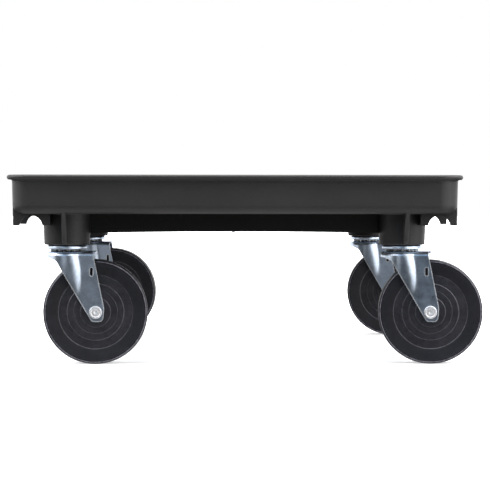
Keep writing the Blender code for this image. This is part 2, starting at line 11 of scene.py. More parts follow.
import bmesh
import bpy
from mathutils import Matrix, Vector


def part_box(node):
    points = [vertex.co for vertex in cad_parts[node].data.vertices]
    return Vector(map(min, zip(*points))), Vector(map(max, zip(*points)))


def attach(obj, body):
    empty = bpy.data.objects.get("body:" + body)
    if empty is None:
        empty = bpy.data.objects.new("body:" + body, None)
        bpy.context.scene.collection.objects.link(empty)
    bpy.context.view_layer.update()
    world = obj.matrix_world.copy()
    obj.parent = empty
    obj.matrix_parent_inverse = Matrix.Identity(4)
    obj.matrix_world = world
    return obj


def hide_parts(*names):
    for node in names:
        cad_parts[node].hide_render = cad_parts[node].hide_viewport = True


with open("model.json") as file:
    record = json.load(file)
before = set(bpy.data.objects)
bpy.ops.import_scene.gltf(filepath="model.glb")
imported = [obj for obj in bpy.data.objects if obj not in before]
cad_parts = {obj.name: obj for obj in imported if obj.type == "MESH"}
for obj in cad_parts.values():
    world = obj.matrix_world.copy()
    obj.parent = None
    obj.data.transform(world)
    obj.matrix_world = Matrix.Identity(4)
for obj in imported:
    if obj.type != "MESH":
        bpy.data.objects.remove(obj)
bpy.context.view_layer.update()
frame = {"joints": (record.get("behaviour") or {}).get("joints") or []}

MM = 0.001
PREFIXES = ("fl", "fr", "rl", "rr")
JOINTS = {joint["name"]: Vector(joint["pos_m"]) for joint in frame["joints"]}
PIVOT = abs(JOINTS["fr_swivel_turn"].x)
TRAIL = (JOINTS["fr_wheel_roll"] - JOINTS["fr_swivel_turn"]).xy.length
DECK_LOW, DECK_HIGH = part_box("deck")
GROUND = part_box("fl_wheel")[0].z
AXLE = JOINTS["fr_wheel_roll"].z - GROUND


def height(z):
    """Height above the ground of a height in the row frame."""
    return z - GROUND


# ---------------------------------------------------------------- mesh tools

def arc(centre, radius, start, end, steps):
    """Points along an arc in a plane, angles in degrees."""
    turns = [math.radians(start + (end - start) * i / steps) for i in range(steps + 1)]
    return [(centre[0] + radius * math.cos(t), centre[1] + radius * math.sin(t)) for t in turns]


def mix(a, b, share):
    return a + (b - a) * share


def clamp(value, low=0.0, high=1.0):
    return max(low, min(high, value))


def smooth_step(value):
    value = clamp(value)
    return value * value * (3 - 2 * value)


def smooth_max(a, b, softness):
    return (a + b + math.sqrt((a - b) ** 2 + softness ** 2)) / 2


def skin(rows, closed_across=True, caps=True):
    """A bmesh skinned over rows of points, each row round or open, with its first and last rows capped."""
    shape = bmesh.new()
    verts = [[shape.verts.new(p) for p in row] for row in rows]
    for low, high in zip(verts, verts[1:]):
        for i in range(0 if closed_across else 1, len(low)):
            shape.faces.new((low[i - 1], low[i], high[i], high[i - 1]))
    if caps:
        shape.faces.new(verts[0])
        shape.faces.new(verts[-1])
    return shape


def spin(profile, steps, axis="Z", centre=(0, 0, 0)):
    """A turned solid from a closed outline of (radius, along) points."""
    shape = bmesh.new()
    along = Vector((0, 0, 1)) if axis == "Z" else Vector((0, 1, 0))
    points = [Vector(centre) + Vector((r, 0, 0)) + along * a for r, a in profile]
    verts = [shape.verts.new(p) for p in points]
    edges = [shape.edges.new((verts[i - 1], verts[i])) for i in range(len(verts))]
    bmesh.ops.spin(shape, geom=verts + edges, cent=centre, axis=along, angle=math.tau,
                   steps=steps, use_merge=True)
    bmesh.ops.remove_doubles(shape, verts=shape.verts, dist=1e-7)
    return shape


def prism(outline, low, high, plane, rounding=0.0, segments=2):
    """A straight prism over an outline of (a, b) points, with its edges rounded."""
    def place(a, b, across):
        return {"XY": (a, b, across), "XZ": (a, across, b), "YZ": (across, a, b)}[plane]
    shape = skin([[place(a, b, low) for a, b in outline], [place(a, b, high) for a, b in outline]])
    if rounding:
        bmesh.ops.bevel(shape, geom=shape.edges, offset=rounding, offset_type="OFFSET",
                        segments=segments, profile=0.5, affect="EDGES", clamp_overlap=True)
    return shape


def gather(shapes):
    """One bmesh that holds all these separate bodies."""
    total = bmesh.new()
    for shape in shapes:
        mesh = bpy.data.meshes.new("part")
        bmesh.ops.recalc_face_normals(shape, faces=shape.faces)
        shape.to_mesh(mesh)
        shape.free()
        total.from_mesh(mesh)
        bpy.data.meshes.remove(mesh)
    return total


def to_mesh(name, shape):
    bmesh.ops.recalc_face_normals(shape, faces=shape.faces)
    mesh = bpy.data.meshes.new(name)
    shape.to_mesh(mesh)
    shape.free()
    return mesh


def evaluated(mesh, set_up):
    """The mesh after the modifiers that set_up puts on a temporary object."""
    holder = bpy.data.objects.new("holder", mesh)
    bpy.context.scene.collection.objects.link(holder)
    helpers = set_up(holder) or []
    graph = bpy.context.evaluated_depsgraph_get()
    result = bpy.data.meshes.new_from_object(holder.evaluated_get(graph), depsgraph=graph)
    for used in [holder] + helpers:
        bpy.data.objects.remove(used)
    result.name = mesh.name
    return result


def carve(mesh, steps):
    """Applies (operation, bmesh) Booleans to a mesh, in order."""
    def set_up(holder):
        helpers = []
        for operation, shape in steps:
            helper = bpy.data.objects.new("operand", to_mesh("operand", shape))
            bpy.context.scene.collection.objects.link(helper)
            step = holder.modifiers.new("step", "BOOLEAN")
            step.operation = operation
            step.solver = "EXACT"
            step.object = helper
            helpers.append(helper)
        return helpers
    return evaluated(mesh, set_up)


def shade(mesh, finish, angle=35):
    mesh.shade_smooth()
    mesh.set_sharp_from_angle(angle=math.radians(angle))
    mesh.materials.clear()
    mesh.materials.append(finish)
    return mesh


# ---------------------------------------------------------------- materials

class Graph:
    """A node tree built up node by node: a new Principled material, or the tree of a world."""

    def __init__(self, name=None, tree=None):
        self.tree = tree
        if not tree:
            self.material = bpy.data.materials.new(name)
            self.material.use_nodes = True
            self.tree = self.material.node_tree
            self.shader = self.tree.nodes["Principled BSDF"]

    def add(self, kind, inputs=None, **settings):
        node = self.tree.nodes.new(kind)
        for key, value in settings.items():
            setattr(node, key, value)
        for key, value in (inputs or {}).items():
            self.feed(node.inputs[key], value)
        return node

    def feed(self, socket, value):
        if isinstance(value, bpy.types.NodeSocket):
            self.tree.links.new(value, socket)
        else:
            socket.default_value = value

    def place(self):
        """The object's own coordinates, shifted per object so that no two copies wear alike."""
        coords = self.add("ShaderNodeTexCoord").outputs["Object"]
        info = self.add("ShaderNodeObjectInfo").outputs["Random"]
        shift = self.math("MULTIPLY", info, 3.0)
        return self.add("ShaderNodeVectorMath", {0: coords, 1: shift}, operation="ADD").outputs[0]

    def stretched(self, where, stretch):
        return self.add("ShaderNodeVectorMath", {0: where, 1: stretch}, operation="MULTIPLY").outputs[0]

    def split(self):
        """The object's own x, y and z."""
        coords = self.add("ShaderNodeTexCoord").outputs["Object"]
        return self.add("ShaderNodeSeparateXYZ", {0: coords}).outputs

    def noise(self, where, scale, detail=4.0, roughness=0.55):
        return self.add("ShaderNodeTexNoise", {"Vector": where, "Scale": scale, "Detail": detail,
                                               "Roughness": roughness}).outputs["Fac"]

    def math(self, operation, a, b=0.0):
        return self.add("ShaderNodeMath", {0: a, 1: b}, operation=operation).outputs[0]

    def product(self, a, b):
        return self.math("MULTIPLY", a, b)

    def average(self, a, b):
        return self.math("ADD", self.product(a, 0.5), self.product(b, 0.5))

    def range(self, value, low, high, to_low, to_high):
        """The value's place between low and high, clamped, as a number from to_low to to_high."""
        return self.add("ShaderNodeMapRange", {"Value": value, "From Min": low, "From Max": high,
                                               "To Min": to_low, "To Max": to_high}).outputs["Result"]

    def apart(self, value, middle):
        return self.math("ABSOLUTE", self.math("SUBTRACT", value, middle))

    def blend(self, share, a, b):
        node = self.add("ShaderNodeMix", data_type="RGBA")
        self.feed(node.inputs[0], share)
        for socket, value in ((node.inputs[6], a), (node.inputs[7], b)):
            self.feed(socket, value if isinstance(value, bpy.types.NodeSocket) else (*value, 1))
        return node.outputs[2]

    def edges(self, radius, low, high):
        """About 1 on convex or concave edges and 0 on flat stretches."""
        bevel = self.add("ShaderNodeBevel", {"Radius": radius}, samples=6).outputs[0]
        normal = self.add("ShaderNodeNewGeometry").outputs["Normal"]
        dot = self.add("ShaderNodeVectorMath", {0: bevel, 1: normal}, operation="DOT_PRODUCT")
        return self.range(dot.outputs["Value"], low, high, 1.0, 0.0)

    def bump(self, layers):
        """Stacks (height, strength, distance) bumps onto the shader."""
        normal = None
        for level, strength, distance in layers:
            inputs = {"Height": level, "Strength": strength, "Distance": distance}
            if normal:
                inputs["Normal"] = normal
            normal = self.add("ShaderNodeBump", inputs).outputs[0]
        self.feed(self.shader.inputs["Normal"], normal)

    def finish(self, colour, roughness, metallic=0.0, **extra):
        self.feed(self.shader.inputs["Base Color"], colour)
        self.feed(self.shader.inputs["Roughness"], roughness)
        self.feed(self.shader.inputs["Metallic"], metallic)
        for key, value in extra.items():
            self.feed(self.shader.inputs[key.replace("_", " ")], value)
        return self.material


def grey(level):
    return (level, level, level)


def scratches(graph, where, scale, stretch, cut):
    """Thin sparse streaks: a noise stretched along one way and cut off near its top."""
    streaks = graph.noise(graph.stretched(where, stretch), scale, 2.0, 0.4)
    return graph.range(streaks, cut, cut + 0.04, 0.0, 1.0)


# Painted shade: where the tray's sheltered part, painted darker, gives way to the exposed wall, and how
# much of the wall's look the sheltered part and the floor slab keep under it
SHELTER = (208 * MM, 230 * MM)
PAINTED_SHADE_KEEP = 0.35
SLAB_PAINTED_SHADE_KEEP = 0.6


def tray_plastic():
    """Black moulded plastic: satin, finely grained, a little scuffed and lighter along its edges.

    Painted shade: the floor and the underside within the sockets are painted darker and with less sheen
    than the outer wall, in place of the shade that falls there.
    """
    graph = Graph("tray_plastic")
    where = graph.place()
    cloud = graph.noise(where, 9.0, 5.0)
    grain = graph.noise(where, 1400.0, 2.0, 0.7)
    ripple = graph.noise(where, 60.0, 3.0)
    scuff = scratches(graph, where, 120.0, (1.0, 6.0, 14.0), 0.66)
    edge = graph.edges(1.2 * MM, 0.75, 0.98)
    x, y, z = (graph.math("ABSOLUTE", side) for side in graph.split())
    # painted shade mask: 1 on the outer wall, lower towards the middle and under the tray, and the floor
    # slab keeps more
    reach = graph.range(graph.math("MAXIMUM", x, y), *SHELTER, PAINTED_SHADE_KEEP, 1.0)
    slab = graph.product(graph.math("LESS_THAN", z, FLOOR + MM), SLAB_PAINTED_SHADE_KEEP)
    kept_from_painted_shade = graph.math("MAXIMUM", reach, slab)
    cloudy = graph.range(cloud, 0.3, 0.7, 0, 1)
    outer = graph.blend(cloudy, (0.0358, 0.0338, 0.0330), (0.0442, 0.0418, 0.0408))
    # painted shade: the sheltered part's colour is blended towards near black
    base = graph.blend(kept_from_painted_shade, grey(0.004), outer)
    worn = graph.blend(graph.product(scuff, 0.18), base, grey(0.085))
    colour = graph.blend(graph.product(edge, 0.5), worn, grey(0.075))
    roughness = graph.range(ripple, 0.3, 0.7, 0.40, 0.50)
    graph.bump([(grain, 0.10, 0.1 * MM), (ripple, 0.05, 1.0 * MM)])
    # the painted shade also turns the sheen down
    return graph.finish(colour, roughness, 0.0, IOR=1.48, Specular_IOR_Level=graph.product(kept_from_painted_shade, 0.3))


# Radii of the wheel face's ring edges and shoulder that carry a painted highlight, how far each shows, and
# the bounds of its other zones
PAINTED_HIGHLIGHT_RINGS = (
    (18.4 * MM, 0.08), (26.3 * MM, 0.03), (34.4 * MM, 0.20), (45.1 * MM, 0.10), (61.1 * MM, 0.6),
)
RING_EDGE = (0.25 * MM, 0.85 * MM)
BAND_START = (44.8 * MM, 46.2 * MM)
BAND_END = (58.0 * MM, 60.0 * MM)
SHOULDER = 61 * MM
TREAD_START = (61.0 * MM, 63.2 * MM)


def wheel_plastic():
    """Hard black wheel plastic: turning marks, ring edges and shoulder lightened as a painted highlight, a
    darker outer band and a dusty tread.
    """
    graph = Graph("wheel_plastic")
    where = graph.place()
    x, _, z = graph.split()
    x, z = graph.math("SUBTRACT", x, TRAIL), graph.math("SUBTRACT", z, AXLE)
    radius = graph.math("SQRT", graph.math("ADD", graph.product(x, x), graph.product(z, z)))
    turning = {"W": graph.product(radius, 900.0), "Scale": 1.0, "Detail": 2.0}
    lathe = graph.add("ShaderNodeTexNoise", turning, noise_dimensions="1D").outputs["Fac"]
    cloud = graph.noise(where, 45.0, 5.0, 0.6)
    patch = graph.noise(where, 210.0, 4.0, 0.75)
    speck = graph.noise(where, 700.0, 2.0, 0.8)
    tread = graph.range(radius, *TREAD_START, 0.0, 1.0)
    dust = graph.product(tread, graph.range(cloud, 0.4, 0.65, 0.1, 0.7))

    mottle = graph.range(graph.average(cloud, patch), 0.38, 0.62, 0, 1)
    base = graph.blend(mottle, (0.0180, 0.0172, 0.0215), (0.0390, 0.0370, 0.0455))
    band = graph.product(graph.range(radius, *BAND_START, 0.0, 1.0),
                         graph.range(radius, *BAND_END, 1.0, 0.0))
    banded = graph.blend(graph.product(band, 0.55), base, (0.008, 0.008, 0.010))
    lines = 0.0
    for middle, share in PAINTED_HIGHLIGHT_RINGS:
        line = graph.range(graph.apart(radius, middle), *RING_EDGE, share, 0.0)
        lines = graph.math("MAXIMUM", lines, line)
    # painted highlight: the ring edges and the shoulder are blended towards a pale violet-white, broken up
    # by the patch noise
    painted_highlight = graph.product(lines, graph.range(patch, 0.35, 0.6, 0.35, 1.0))
    ringed = graph.blend(painted_highlight, banded, (0.45, 0.44, 0.50))
    turned = graph.blend(graph.range(lathe, 0.5, 0.8, 0.0, 0.25), ringed, (0.038, 0.038, 0.043))
    colour = graph.blend(graph.product(dust, 0.5), turned, (0.056, 0.055, 0.056))

    satin = graph.math("ADD", graph.range(speck, 0.3, 0.7, 0.32, 0.46), graph.product(dust, 0.25))
    polish = graph.range(graph.apart(radius, SHOULDER), 1 * MM, 2 * MM, 0.3, 1.0)
    graph.bump([(lathe, 0.12, 0.1 * MM), (speck, 0.10, 0.1 * MM), (patch, 0.12, 0.3 * MM),
                (cloud, 0.05, 1.0 * MM)])
    return graph.finish(colour, graph.product(satin, polish), 0.0, IOR=1.5)


def zinc_plate(name, tint, low, high, metal=1.0, dents=0.04):
    """Zinc plating over steel: cloudy, with fine upright rolling lines and a painted highlight on its
    edges, which are blended to white and made less metallic.
    """
    graph = Graph(name)
    where = graph.place()
    cloud = graph.noise(where, 90.0, 6.0, 0.65)
    rolling = graph.noise(graph.stretched(where, (1.0, 1.0, 0.05)), 1100.0, 2.0, 0.6)
    spangle = graph.noise(where, 420.0, 3.0, 0.7)
    edge = graph.edges(2.2 * MM, 0.88, 0.99)

    dark = tuple(channel * 0.80 for channel in tint)
    mottled = graph.blend(graph.range(graph.average(cloud, spangle), 0.40, 0.60, 0, 1), dark, tint)
    # painted highlight: the edges are blended to white here, and made less metallic below
    colour = graph.blend(edge, mottled, (1.0, 1.0, 1.0))
    roughness = graph.math("ADD", graph.range(cloud, 0.3, 0.7, low, high), graph.product(rolling, 0.05))
    metallic = graph.product(metal, graph.math("SUBTRACT", 1.0, graph.product(edge, 0.85)))
    graph.bump([(rolling, 0.05, 0.1 * MM), (cloud, dents, 0.5 * MM)])
    return graph.finish(colour, roughness, metallic)


def ball_steel():
    """Greased steel balls and their dark cage."""
    graph = Graph("ball_steel")
    grease = graph.noise(graph.place(), 240.0, 4.0)
    colour = graph.blend(graph.range(grease, 0.4, 0.6, 0, 1), (0.10, 0.095, 0.08), (0.32, 0.32, 0.31))
    graph.bump([(grease, 0.1, 0.2 * MM)])
    return graph.finish(colour, graph.range(grease, 0.4, 0.6, 0.5, 0.2), 0.9)


# ---------------------------------------------------------------- deck

FLOOR = 4.0 * MM                                   # thickness of the tray floor, top face at z = 0
RIM_OVERHANG = 6.2 * MM
WALL_HALF = DECK_HIGH.x - RIM_OVERHANG
WALL = 4.0 * MM
DRAFT = 0.5 * MM
PAN_RADIUS = 11.0 * MM
BEAD = 5.9 * MM
CORNER_CENTRE = WALL_HALF - 25.0 * MM
IN_SLAB = -2.0 * MM
SOCKET_RADII = (29.0 * MM, 27.9 * MM)
WEB_OFFSET = 41.0 * MM
WEB_BOTTOM = -17.8 * MM
GRID_PITCH = 68.0 * MM
APRON_REACH = 190.0 * MM
APRON_BOTTOM = -28.1 * MM
STEM_BORE = 6.65 * MM


def tray_section():
    """The tray's section as (half width, z), from the floor's upper face over the rim to its underside."""
    inner = WALL_HALF - WALL
    bead = BEAD / 2
    bead_middle = DECK_HIGH.x - bead
    neck = DECK_HIGH.z - BEAD
    pan = WALL_HALF - DRAFT - PAN_RADIUS
    well = PAN_RADIUS - WALL
    lip = 3 * MM
    section = arc((pan, well), well, -90, 0, 8)
    section += arc((inner + lip, DECK_HIGH.z - lip), lip, 180, 90, 6)
    section += arc((bead_middle, DECK_HIGH.z - bead), bead, 90, -90, 12)
    fillet = 2.2 * MM
    section += arc((WALL_HALF + fillet, neck - fillet), fillet, 90, 180, 6)
    section += arc((pan, PAN_RADIUS - FLOOR), PAN_RADIUS, 0, -90, 10)
    return section


def rounded_square(half, z, steps=16):
    """One ring of the tray. All rings share the centres of their corner arcs."""
    ring = []
    for quarter, (sx, sy) in enumerate(((1, 1), (-1, 1), (-1, -1), (1, -1))):
        for x, y in arc((0, 0), half - CORNER_CENTRE, quarter * 90, quarter * 90 + 90, steps):
            ring.append((x + sx * CORNER_CENTRE, y + sy * CORNER_CENTRE, z))
    return ring


def corners():
    return [(sx, sy) for sx in (-1, 1) for sy in (-1, 1)]


def sockets():
    """Tapered round sockets with a small fillet under the floor and a rounded lower edge."""
    top, bottom = SOCKET_RADII
    fillet = 1.6 * MM
    edge = 2.2 * MM
    profile = [(0, IN_SLAB), (top + fillet, IN_SLAB)]
    profile += arc((top + fillet, -FLOOR - fillet), fillet, 90, 180, 5)
    profile += arc((bottom - edge, DECK_LOW.z + edge), edge, 0, -90, 6)
    profile += [(0, DECK_LOW.z)]
    return gather([spin(profile, 64, "Z", (sx * PIVOT, sy * PIVOT, 0)) for sx, sy in corners()])


def gussets():
    """Round-nosed ribs from the sockets out to the front and rear walls."""
    half = 2.8 * MM
    outline = [(264.3 * MM, 1.8 * MM), (246.0 * MM, -37.5 * MM), (243.5 * MM, -40.0 * MM),
               (PIVOT + 15 * MM, -40.0 * MM), (PIVOT + 15 * MM, IN_SLAB), (WALL_HALF - PAN_RADIUS, IN_SLAB)]
    return gather([prism([(sy * y, z) for y, z in outline], sx * PIVOT - half, sx * PIVOT + half, "YZ",
                         1.7 * MM, 3) for sx, sy in corners()])


def webs():
    """Notched webs from the side walls towards the sockets."""
    radius, centre, level = 13.7 * MM, 244.5 * MM, -19.6 * MM
    rise = math.degrees(math.asin((WEB_BOTTOM - level) / radius))
    outline = [(221.8 * MM, IN_SLAB), (221.8 * MM, WEB_BOTTOM)]
    outline += arc((centre, level), radius, 180 - rise, rise, 20)
    outline += [(266 * MM, WEB_BOTTOM), (266 * MM, 11 * MM), (264.2 * MM, 11 * MM), (260.2 * MM, 2 * MM),
                (253.2 * MM, IN_SLAB)]
    shapes = []
    for sx, sy in corners():
        for side in (-1, 1):
            y = sy * PIVOT + side * WEB_OFFSET
            shapes.append(prism([(sx * x, z) for x, z in outline], y - 2 * MM, y + 2 * MM, "XZ", 0.4 * MM))
    return gather(shapes)


def ties():
    """Short ribs from the webs' inner ends to the socket."""
    shapes = []
    for sx, sy in corners():
        for side in (-1, 1):
            xs = sorted((sx * 222.0 * MM, sx * 225.8 * MM))
            ys = sorted((sy * PIVOT + side * 16 * MM, sy * PIVOT + side * WEB_OFFSET))
            outline = [(xs[0], ys[0]), (xs[1], ys[0]), (xs[1], ys[1]), (xs[0], ys[1])]
            shapes.append(prism(outline, WEB_BOTTOM + 0.2 * MM, IN_SLAB - 0.3 * MM, "XY", 0.4 * MM))
    return gather(shapes)


def aprons(plane):
    """Deep, slightly arched ribs between the sockets, tapered to a rounded lower edge."""
    steps = 24
    arch = []
    for i in range(steps + 1):
        along = APRON_REACH * (1 - 2 * i / steps)
        arch.append((along, APRON_BOTTOM + 2.1 * MM * (1 - (along / APRON_REACH) ** 2)))
    outline = [(-APRON_REACH, IN_SLAB), (APRON_REACH, IN_SLAB)] + arch
    return gather([prism(outline, side * PIVOT - 2 * MM, side * PIVOT + 2 * MM, plane, 0.9 * MM)
                   for side in (-1, 1)])


def grid(plane, bottom):
    outline = [(-PIVOT, bottom), (PIVOT, bottom), (PIVOT, IN_SLAB), (-PIVOT, IN_SLAB)]
    return gather([prism(outline, side * GRID_PITCH - 1.75 * MM, side * GRID_PITCH + 1.75 * MM, plane,
                         0.7 * MM) for side in (-1, 1)])


def gate_mark():
    """The nub left on the front apron's lower edge by the moulding gate."""
    top, bottom = -23 * MM, -26.8 * MM
    profile = [(0, top), (2.2 * MM, top), (2.0 * MM, bottom + 0.4 * MM), (1.4 * MM, bottom), (0, bottom)]
    return spin(profile, 20, "Z", (-2 * MM, -PIVOT, 0))


def floor_cuts():
    """Nut pockets and drain holes, their upper edges eased."""
    def cutter(radius, bottom, x, y, steps):
        ease = 1.0 * MM
        profile = [(0, bottom), (radius, bottom), (radius, -ease)]
        profile += [(radius + ease + 2 * MM, 2 * MM), (0, 2 * MM)]
        return spin(profile, steps, "Z", (x, y, 0))
    shapes = [cutter(19 * MM, -29 * MM, sx * PIVOT, sy * PIVOT, 64) for sx, sy in corners()]
    pitch = 2 * GRID_PITCH
    for ix in (-1, 0, 1):
        for iy in (-1, 0, 1):
            if ix or iy:
                shapes.append(cutter(11 * MM, -8 * MM, ix * pitch, iy * pitch, 48))
    return gather(shapes)


def stem_bores():
    low, high = DECK_LOW.z - 3 * MM, -25 * MM
    profile = [(0, low), (STEM_BORE, low), (STEM_BORE, high), (0, high)]
    return gather([spin(profile, 40, "Z", (sx * PIVOT, sy * PIVOT, 0)) for sx, sy in corners()])


def make_deck(finish):
    shell = to_mesh("deck_model", skin([rounded_square(half, z) for half, z in tray_section()]))
    adds = [sockets(), gussets(), webs(), ties(), aprons("XZ"), aprons("YZ"), grid("XZ", -19 * MM),
            grid("YZ", -18.5 * MM), gate_mark()]
    steps = [("UNION", shape) for shape in adds]
    steps += [("DIFFERENCE", floor_cuts()), ("DIFFERENCE", stem_bores())]
    mesh = shade(carve(shell, steps), finish, 32)
    deck = bpy.data.objects.new("deck_model", mesh)
    bpy.context.scene.collection.objects.link(deck)
    deck.modifiers.new("even_shading", "WEIGHTED_NORMAL").keep_sharp = True
    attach(deck, "deck")
    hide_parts("deck")


# ---------------------------------------------------------------- fork

CROWN_TOP = height(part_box("fr_fork")[1].z)
CROWN_RADIUS = 25.8 * MM
NOSE = -CROWN_RADIUS * math.pi / 2
NOSE_BOTTOM = 129.9 * MM
LEG_FACE = 22.0 * MM
SHEET = 2.5 * MM
BEND = 5.0 * MM
LEG_TOP = CROWN_TOP - BEND
BULGE_TOP = 131.0 * MM
BULGE_END = 84.0 * MM
BULGE_DRIFT = 9.0 * MM


def leg_face(along, z):
    """A point of the fork's outer face on its near side.

    along runs round the crown from the nose, negative, to the trailing side, where it equals x. The crown's
    round wall carries on down the leg as a bulge that narrows and ends above the axle.
    """
    rise = (z - BULGE_END) / (BULGE_TOP - BULGE_END)
    swell = min(rise, 1.0) * (2 - min(rise, 1.0)) if rise > 0 else 2 * rise
    radius = LEG_FACE + (CROWN_RADIUS - LEG_FACE) * swell
    if along < 0:
        turn = along / CROWN_RADIUS
        return Vector((CROWN_RADIUS * math.sin(turn), -radius * math.cos(turn), z))
    drift = BULGE_DRIFT * clamp((BULGE_TOP - z) / (41 * MM))
    offset = max(0.0, along - drift)
    wall = math.sqrt(max(radius ** 2 - offset ** 2, 0.0))
    return Vector((along, -smooth_max(LEG_FACE, wall, 0.7 * MM), z))


def leg_normal(along, z):
    step = 0.05 * MM
    across = leg_face(along + step, z) - leg_face(along - step, z)
    upward = leg_face(along, z + step) - leg_face(along, z - step)
    return across.cross(upward).normalized()


def polyline(points, count):
    """Points spread evenly by length along a polyline."""
    points = [Vector(p) for p in points]
    spans = [(b - a).length for a, b in zip(points, points[1:])]
    spread = []
    for i in range(count + 1):
        left = sum(spans) * i / count
        k = 0
        while k < len(spans) - 1 and left > spans[k]:
            left -= spans[k]
            k += 1
        spread.append(points[k].lerp(points[k + 1], clamp(left / spans[k])))
    return spread


def leg_columns():
    """Pairs of points, (along, z), from the bend at the top to the sheet's lower edge, nose first."""
    turned = 24
    front = 26
    tip = 14
    top = polyline([(NOSE, LEG_TOP), (-14 * MM, LEG_TOP)], turned)
    low = polyline([(NOSE, NOSE_BOTTOM), (-24 * MM, 129.5 * MM), (-15.6 * MM, 126.9 * MM)], turned)
    top += polyline([(-14 * MM, LEG_TOP), (22 * MM, LEG_TOP)], front)[1:]
    low += polyline([(-15.6 * MM, 126.9 * MM), (-12.6 * MM, 124.8 * MM), (-10.2 * MM, 121.2 * MM),
                     (28.3 * MM, 54.8 * MM)], front)[1:]
    end = arc((31.8 * MM, 56.0 * MM), 3.9 * MM, 205, 268, 5)
    end += arc((38.8 * MM, 57.2 * MM), 5.3 * MM, -88, -8, 6)
    end += [(44.6 * MM, 63.0 * MM), (44.8 * MM, 69.0 * MM)]
    top += polyline([(22 * MM, LEG_TOP), (32.2 * MM, LEG_TOP)], tip)[1:]
    low += polyline(end, tip)[1:]
    return list(zip(top, low))


def sheet_point(along, z, rise):
    """The outer and inner points of the sheet, here or, for a rise above 0, over the bend to the crown."""
    outward = leg_normal(along, z)
    outer = leg_face(along, z)
    inner = outer - outward * SHEET
    if rise:
        level = Vector((outward.x, outward.y, 0)).normalized()
        turn = math.radians(90 * rise)
        outer = outer - level * BEND * (1 - math.cos(turn)) + Vector((0, 0, BEND * math.sin(turn)))
        less = BEND - SHEET
        inner = inner - level * less * (1 - math.cos(turn)) + Vector((0, 0, less * math.sin(turn)))
    return outer, inner


def thick_sheet(pairs, faces):
    """A closed body between matching outer and inner points, walled in along its rim."""
    shape = bmesh.new()
    outer = [shape.verts.new(pair[0]) for pair in pairs]
    inner = [shape.verts.new(pair[1]) for pair in pairs]
    edges = set()
    for face in faces:
        shape.faces.new([outer[k] for k in face])
        shape.faces.new([inner[k] for k in reversed(face)])
        edges.update(zip(face, face[1:] + face[:1]))
    for a, b in sorted(edges):
        if (b, a) not in edges:
            shape.faces.new((outer[b], outer[a], inner[a], inner[b]))
    return shape


def fork_sheet():
    """The pressed sheet: both legs, the nose between them and the flat crown, as one closed body."""
    bend, down = 6, 46
    levels = [(0, 1 - j / bend) for j in range(bend)] + [(j / down, 0) for j in range(down + 1)]
    pairs = []
    faces = []
    columns = {}
    for side in (1, -1):
        columns[side] = []
        for top, low in leg_columns():
            if side == -1 and not columns[side]:
                columns[side].append(columns[1][0])
                continue
            columns[side].append(range(len(pairs), len(pairs) + len(levels)))
            for share, rise in levels:
                flat = top.lerp(low, share)
                points = sheet_point(flat.x, flat.y, rise)
                pairs.append([Vector((p.x, p.y * side, p.z)) for p in points])
        for near, far in zip(columns[side], columns[side][1:]):
            for j in range(len(levels) - 1):
                quad = (near[j], near[j + 1], far[j + 1], far[j])
                faces.append(quad[::side])
    crown = [column[0] for column in columns[1]]
    for x, y in ((34.4, -19.5), (36.0, -16.0), (36.0, 16.0), (34.4, 19.5)):
        crown.append(len(pairs))
        pairs.append([Vector((x * MM, y * MM, CROWN_TOP)), Vector((x * MM, y * MM, CROWN_TOP - SHEET))])
    crown += [column[0] for column in columns[-1][:0:-1]]
    faces.append(tuple(crown))
    return thick_sheet(pairs, faces)


def crown_cuts():
    """Booleans for the crown's raceways, stem hole, axle holes and slots."""
    boss = [(8.2, 133.2), (22.0, 133.2), (22.6, 133.8), (22.6, 135.0), (8.2, 135.0)]
    upper = arc((17.5 * MM, 138.7 * MM), 3.1 * MM, 0, 345, 23)
    lower = arc((12.5 * MM, 131.5 * MM), 3.1 * MM, 0, 345, 23)
    hole = [(0, 125), (8.2, 125), (8.2, 145), (0, 145)]
    axle = [(0, -40), (4.4, -40), (4.4, 40), (0, 40)]
    slot_half = 1.75 * MM
    slot = arc((29.7 * MM, 116.0 * MM), slot_half, 0, 180, 8)
    slot += arc((29.7 * MM, 109.4 * MM), slot_half, 180, 360, 8)
    return [
        ("UNION", spin([(r * MM, z * MM) for r, z in boss], 72)),
        ("DIFFERENCE", spin(upper, 72)),
        ("DIFFERENCE", spin(lower, 72)),
        ("DIFFERENCE", spin([(r * MM, z * MM) for r, z in hole], 72)),
        ("DIFFERENCE", spin([(r * MM, y * MM) for r, y in axle], 32, "Y", (TRAIL, 0, AXLE))),
        ("DIFFERENCE", prism(slot, -40 * MM, 40 * MM, "XZ")),
    ]


def fork_mesh():
    def ease_edges(holder):
        edge = holder.modifiers.new("edge", "BEVEL")
        edge.width = 1.15 * MM
        edge.segments = 3
        edge.limit_method = "ANGLE"
        edge.angle_limit = math.radians(60)
    return carve(evaluated(to_mesh("fork_model", fork_sheet()), ease_edges), crown_cuts())


# ---------------------------------------------------------------- turned caster pieces

AXLE_BORE = 4.4 * MM


def millimetres(profile):
    return [(r * MM, a * MM) for r, a in profile]


def top_race_mesh():
    """The pressed disc under the socket: rolled edge, grooved below for the balls."""
    profile = [(6.65 * MM, 144.7 * MM), (6.65 * MM, 140.0 * MM), (13.9 * MM, 140.0 * MM)]
    profile += arc((17.5 * MM, 138.7 * MM), 3.4 * MM, 157, 23, 8)
    profile += [(23.0 * MM, 140.0 * MM)] + arc((23.0 * MM, 141.0 * MM), 1.0 * MM, -90, 0, 4)
    profile += arc((21.6 * MM, 142.3 * MM), 2.4 * MM, 0, 90, 6)
    return to_mesh("top_race_model", spin(profile, 96))


def lower_race_mesh():
    profile = [(6.65 * MM, 130.2 * MM), (6.65 * MM, 127.2 * MM)]
    profile += arc((17.4 * MM, 128.8 * MM), 1.6 * MM, -90, 0, 5) + [(19.0 * MM, 130.2 * MM)]
    profile += arc((12.5 * MM, 131.5 * MM), 3.2 * MM, -24, -156, 8)
    return to_mesh("lower_race_model", spin(profile, 72))


